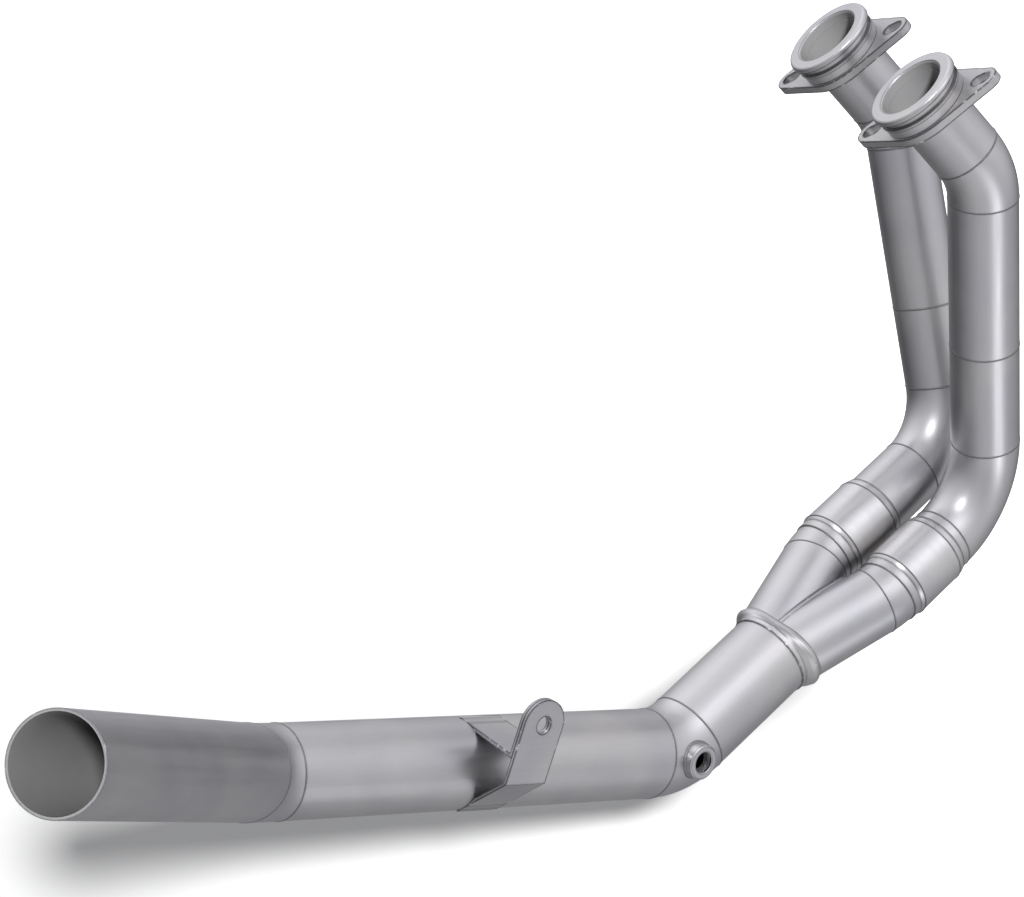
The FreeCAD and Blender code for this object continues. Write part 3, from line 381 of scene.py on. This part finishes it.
def rope(centres, outward, sideways, half_height, half_width, sides=8):
    """Grid of ovals: centre + outward * height * cos v + sideways * width * sin v, for v round the oval."""
    v = np.linspace(0, 2 * math.pi, sides, endpoint=False)[None, :, None]
    tall = np.broadcast_to(half_height, centres.shape[:1])[:, None, None]
    wide = np.broadcast_to(half_width, centres.shape[:1])[:, None, None]
    return centres[:, None] + outward[:, None] * tall * np.cos(v) + sideways[:, None] * wide * np.sin(v)


def ripples(count, depth=0.30):
    """Bead size along a seam: 1 less depth times the square of the way through each torch step."""
    step = (np.arange(count) / STEPS_PER_RIPPLE) % 1.0
    return 1.0 - depth * step * step


print("rope and ripples ready")

# %% Seams round a tube
bead_steel = steel("weld_bead", value=0.24, rough=0.42, grain=0.3, wear=0.15)
BEAD_HEIGHT, BEAD_WIDTH = 0.00028, 0.00055


def square_pair(axis):
    """Two unit directions square to an axis and to each other."""
    first = unit(np.cross(axis, up if abs(axis[2]) < 0.9 else np.array([1.0, 0.0, 0.0])))
    return first, np.cross(axis, first)


def round_seam(name, centre, axis, radius, height=BEAD_HEIGHT, width=BEAD_WIDTH):
    """Bead on a circle: centre + radius * (x cos u + y sin u), with its oval standing out of the tube."""
    count = int(round(2 * math.pi * radius / RIPPLE_PITCH)) * STEPS_PER_RIPPLE
    u = np.linspace(0, 2 * math.pi, count, endpoint=False)[:, None]
    x, y = square_pair(axis)
    out = x * np.cos(u) + y * np.sin(u)
    size = ripples(count)
    along = np.broadcast_to(axis, out.shape)
    grid = rope(centre + out * radius, out, along, height * size, width * size)
    piece = surface(name, grid, bead_steel)
    return piece


seams = {}
for name, arc in bends.items():
    radius = LINK_RADIUS if name.startswith("link") else HEADER_RADIUS
    slot = "link_tube" if name.startswith("link") else "header_tube"
    seams["seam_" + name + "_in"] = (arc["first"], arc["in"], radius, slot)
    seams["seam_" + name + "_out"] = (arc["last"], arc["out"], radius, slot)
for side in HAND:
    down = unit(lower_corner[side] - upper_corner[side])
    place = upper_corner[side] + down * JOINT_BELOW_BEND
    seams["seam_joint_" + side] = (place, down, HEADER_RADIUS, "header_tube")
bend_low = math.radians(INLET_TILT)
for side, hand in HAND.items():
    outward = inlet_side * hand
    low_end = (inlet[side] - collector_axis * INLET_BEND_RADIUS * math.sin(bend_low)
               - outward * INLET_BEND_RADIUS * (1 - math.cos(bend_low)))
    low_axis = collector_axis * math.cos(bend_low) + outward * math.sin(bend_low)
    seams["ring_inlet_top_" + side] = (inlet[side], collector_axis, INLET_RADIUS, "collector")
    seams["ring_inlet_low_" + side] = (low_end, low_axis, INLET_RADIUS, "collector")
    rings = (("top", SLEEVE_TOP, HEADER_RADIUS + SLEEVE_LIP),
             ("shoulder", SLEEVE_SHOULDER, SLEEVE_RADIUS),
             ("roll", SLEEVE_ROLL, SLEEVE_RADIUS))
    for part, station, radius in rings:
        place = inlet[side] + collector_axis * station
        seams["ring_sleeve_" + part + "_" + side] = (place, collector_axis, radius, "sleeve")
for name, (place, axis, radius, slot) in seams.items():
    round_seam(name, place, axis, radius)
print("seams round tubes:", len(seams))

# %% [markdown]
# ## The probe boss
#
# The boss is a turned bung that sits on the outside of the front bend, with a bead where it meets the
# bend and an M12 thread inside. The bead follows the line where a cylinder meets a ring-shaped tube,
# which has a closed form because the two axes are parallel. The thread is a three-sided ridge that
# climbs a helix.

# %% Bead and thread of the boss
BOSS_RADIUS, BOSS_HOLE, THREAD_PITCH, THREAD_DEPTH = 0.010, 0.006, 0.00125, 0.00058
BOSS_LOW, BOSS_HIGH = 0.0228, 0.0294
BOSS_RIPPLES = 48
THREAD_OVERLAP = 0.0001
knee = bends["link_front_bend"]


def unit_rows(rows):
    """Each row divided by its own length."""
    return rows / np.linalg.norm(rows, axis=1, keepdims=True)


def boss_bead():
    """Height of the seam at angle u is sqrt(r^2 - (d - R)^2), with d the distance from the bend's centre."""
    count = BOSS_RIPPLES * STEPS_PER_RIPPLE
    u = np.linspace(0, 2 * math.pi, count, endpoint=False)[:, None]
    x, y = square_pair(knee["normal"])
    out = x * np.cos(u) + y * np.sin(u)
    flat = knee["middle"] + out * BOSS_RADIUS
    away = np.linalg.norm(flat - knee["centre"], axis=1) - BEND_RADIUS
    rise = np.sqrt(LINK_RADIUS ** 2 - away ** 2)[:, None]
    line = flat + knee["normal"] * rise
    size = ripples(count, depth=0.25)
    lean = unit_rows(out + knee["normal"])
    across = np.cross(lean, np.roll(line, -1, 0) - np.roll(line, 1, 0))
    grid = rope(line, lean, unit_rows(across), 0.0010 * size, 0.0013 * size, sides=10)
    return surface("bead_boss", grid, bead_steel)


def boss_thread():
    """Ridge of a thread: the radius falls from wall to crest and back, and it climbs one pitch a turn."""
    turns = (BOSS_HIGH - BOSS_LOW) / THREAD_PITCH - 1.0
    u = np.linspace(0, 2 * math.pi * turns, int(turns * 40))[:, None, None]
    share = np.array([0.04, 0.5, 0.96])[None, :, None]
    wall, crest = BOSS_HOLE + THREAD_OVERLAP, BOSS_HOLE - THREAD_DEPTH
    radius = np.array([wall, crest, wall])[None, :, None]
    x, y = square_pair(knee["normal"])
    out = x * np.cos(u) + y * np.sin(u)
    rise = BOSS_LOW + THREAD_PITCH * (u / (2 * math.pi) + share)
    grid = knee["middle"] + out * radius + knee["normal"] * rise
    return surface("thread_boss", grid, thread_steel, caps=True)


thread_steel = steel("cut_thread", value=0.42, rough=0.34, grain=0.4, wear=0.6)
for piece in (boss_bead(), boss_thread()):
    print(piece.name, "points", len(piece.data.vertices))

# %% [markdown]
# ## Floor, light and camera
#
# The photograph shows the part against plain white with a soft shadow below it. The broad pale floor
# glows a little more with distance, so it keeps the shadow under the link pipe and turns to plain
# white behind. One soft sun makes that shadow. Polished steel shows only what it mirrors, so a large
# tent with smooth bright and dark panels is seen by reflections alone, and puts one long stripe on
# each tube.

# %% Where the camera stands
CAMERA_PLACE = np.array([-0.743283, -1.741298, 0.475786])
CAMERA_HEADING, CAMERA_CLIMB = 73.464, -20.03
CAMERA_AIM = heading(CAMERA_HEADING, CAMERA_CLIMB)
camera_right = unit(np.cross(CAMERA_AIM, up))
level_aim = unit(CAMERA_AIM * np.array([1.0, 1.0, 0.0]))
middle = np.array([-0.20, -0.05, -0.20])
print("the camera looks along", np.round(CAMERA_AIM, 3))

# %% Floor
FLOOR_GAP, FLOOR_REACH = 0.06, 12.0
SHADE_TO = float(CAMERA_PLACE @ level_aim) + 2.02
WHITE_FROM = SHADE_TO + 0.18
floor_mesh = bpy.data.meshes.new("floor")
floor_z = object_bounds()[0].z - FLOOR_GAP
signs = ((-1, -1), (1, -1), (1, 1), (-1, 1))
corners = [(x * FLOOR_REACH, y * FLOOR_REACH, floor_z) for x, y in signs]
floor_mesh.from_pydata(corners, [], [(0, 1, 2, 3)])
floor = bpy.data.objects.new("floor", floor_mesh)
bpy.context.scene.collection.objects.link(floor)
f = Finish("pale_floor")
rays = f.add("LightPath")
seen = f.most(rays.outputs["Is Camera Ray"], rays.outputs["Is Transmission Ray"])
paint = f.add("BsdfDiffuse", Color=(0.80, 0.80, 0.80, 1.0))
paint_seen = f.add("BsdfDiffuse", Color=(0.90, 0.90, 0.90, 1.0))
place = f.add("TexCoord").outputs["Object"]
away = f.vector("DOT_PRODUCT", place, tuple(level_aim)).outputs["Value"]
whiter = f.add("MapRange", {"interpolation_type": "SMOOTHSTEP"}, _0=away, _1=SHADE_TO, _2=WHITE_FROM,
               _3=0.15, _4=1.0)
glow = f.add("Emission", Color=(1.0, 1.0, 1.0, 1.0), Strength=whiter.outputs[0])
lit = f.add("AddShader", _0=paint_seen.outputs[0], _1=glow.outputs[0])
both = f.add("MixShader", _0=seen, _1=paint.outputs[0], _2=lit.outputs[0])
f.add("OutputMaterial", Surface=both.outputs[0])
dress(floor, f.material)
print("floor at", round(floor_z, 4))

# %% World
scene = bpy.context.scene
scene.world = bpy.data.worlds.new("studio")
sky = Finish("studio", scene.world)
rays = sky.add("LightPath")
direct = sky.most(rays.outputs["Is Camera Ray"], rays.outputs["Is Glossy Ray"])
direct = sky.most(direct, rays.outputs["Is Transmission Ray"])
fill = sky.add("Background", Color=(0.95, 0.97, 1.0, 1.0), Strength=0.15)
white = sky.add("Background", Color=(1.0, 1.0, 1.0, 1.0), Strength=1.0)
mix = sky.add("MixShader", _0=direct, _1=fill.outputs[0], _2=white.outputs[0])
sky.add("OutputWorld", Surface=mix.outputs[0])
print("world: white behind the part, and a weak fill for its shadows")

# %% One soft sun


def seen_from_part(azimuth, climb):
    """Unit vector at a climb and an azimuth, which is 0 toward the camera and grows to its right."""
    a, c = math.radians(azimuth), math.radians(climb)
    return (camera_right * math.sin(a) - level_aim * math.cos(a)) * math.cos(c) + up * math.sin(c)


def facing(name, data, place):
    """Object at place whose -Z looks at the part's middle."""
    thing = bpy.data.objects.new(name, data)
    aim = unit(middle - place)
    side = unit(np.cross(aim, up))
    frame_rows = np.column_stack([side, np.cross(side, aim), -aim, place])
    thing.matrix_world = Matrix(np.vstack([frame_rows, [0, 0, 0, 1]]).tolist())
    scene.collection.objects.link(thing)
    return thing


SUN_AZIMUTH, SUN_CLIMB, SUN_DISTANCE = 7.0, 30.5, 3.0
sun_data = bpy.data.lights.new("soft_sun", "SUN")
sun_data.angle, sun_data.energy = math.radians(6.0), 5.0
sun_way = seen_from_part(SUN_AZIMUTH, SUN_CLIMB)
sun = facing("soft_sun", sun_data, middle + sun_way * SUN_DISTANCE)
sun.visible_glossy = False
print("sun from", np.round(sun_way, 3))

# %% A graded tent for the reflections
TENT_LOW, TENT_RISE, TENT_DARKEST = 0.38, 0.48, 0.05
# Name, azimuth and climb in degrees, spread in degrees, strength.
PANELS = (
    ("front_low", 0, -45, 40, 0.40),
    ("right_strip", 50, -37, 12, 2.60),
    ("right_side", 80, -5, 36, 0.35),
    ("key", 53, 47, 20, 1.45),
    ("elbow_spots", -19, 50, 7, 13.0),
    ("behind_left", -147, 55, 34, 0.75),
    ("dark_left", -125, -28, 40, -0.28),
    ("dark_back", 150, -5, 26, -0.32),
)


def tent_shade(way):
    """Brightness in each direction: a rise from below to above, plus s exp(-(angle / spread)^2) a panel."""
    lift = np.clip((way[:, 2] + 0.45) / 1.1, 0, 1)
    shade = TENT_LOW + TENT_RISE * lift * lift * (3 - 2 * lift)
    for _, azimuth, climb, spread, strength in PANELS:
        centre = seen_from_part(azimuth, climb)
        angle = np.degrees(np.arccos(np.clip(way @ centre, -1, 1)))
        shade = shade + strength * np.exp(-(angle / spread) ** 2)
    return np.maximum(shade, TENT_DARKEST)


def tent(radius=7.0, rows=90, columns=180):
    """Sphere of points (cos c cos a, cos c sin a, sin c) * radius, with its brightness at each point."""
    climbs, turns = np.linspace(-math.pi / 2, math.pi / 2, rows), np.linspace(0, 2 * math.pi, columns)
    c, a = np.meshgrid(climbs, turns, indexing="ij")
    way = np.stack([np.cos(c) * np.cos(a), np.cos(c) * np.sin(a), np.sin(c)], -1).reshape(-1, 3)
    i, j = np.meshgrid(np.arange(rows - 1), np.arange(columns - 1), indexing="ij")
    first = (i * columns + j).reshape(-1)
    faces = np.stack([first, first + columns, first + columns + 1, first + 1], -1)
    mesh = bpy.data.meshes.new("tent")
    mesh.from_pydata((way * radius + middle).tolist(), [], faces.tolist())
    mesh.attributes.new("shade", "FLOAT", "POINT").data.foreach_set("value", tent_shade(way))
    thing = bpy.data.objects.new("tent", mesh)
    scene.collection.objects.link(thing)
    f = Finish("tent")
    shade = f.add("Attribute", {"attribute_name": "shade"}).outputs["Fac"]
    glow = f.add("Emission", Color=(0.98, 0.98, 1.03, 1.0), Strength=shade)
    f.add("OutputMaterial", Surface=glow.outputs[0])
    f.material.cycles.emission_sampling = "NONE"
    dress(thing, f.material)
    for ray in ("camera", "diffuse", "shadow", "transmission", "volume_scatter"):
        setattr(thing, "visible_" + ray, False)
    return thing


tent()
floor.visible_glossy = False
print("tent panels:", [panel[0] for panel in PANELS])

# %% Camera
lens = bpy.data.cameras.new("camera")
lens.sensor_fit = "HORIZONTAL"
lens.sensor_width = 36.0
lens.lens = 124.49
lens.clip_start, lens.clip_end = 0.05, 60.0
camera = bpy.data.objects.new("camera", lens)
camera.location = CAMERA_PLACE
camera.rotation_euler = (math.radians(90.0 + CAMERA_CLIMB), 0.0, math.radians(CAMERA_HEADING - 90.0))
scene.collection.objects.link(camera)
scene.camera = camera
scene.view_settings.view_transform = "Standard"
print("camera", np.round(CAMERA_PLACE, 3), "lens", lens.lens)
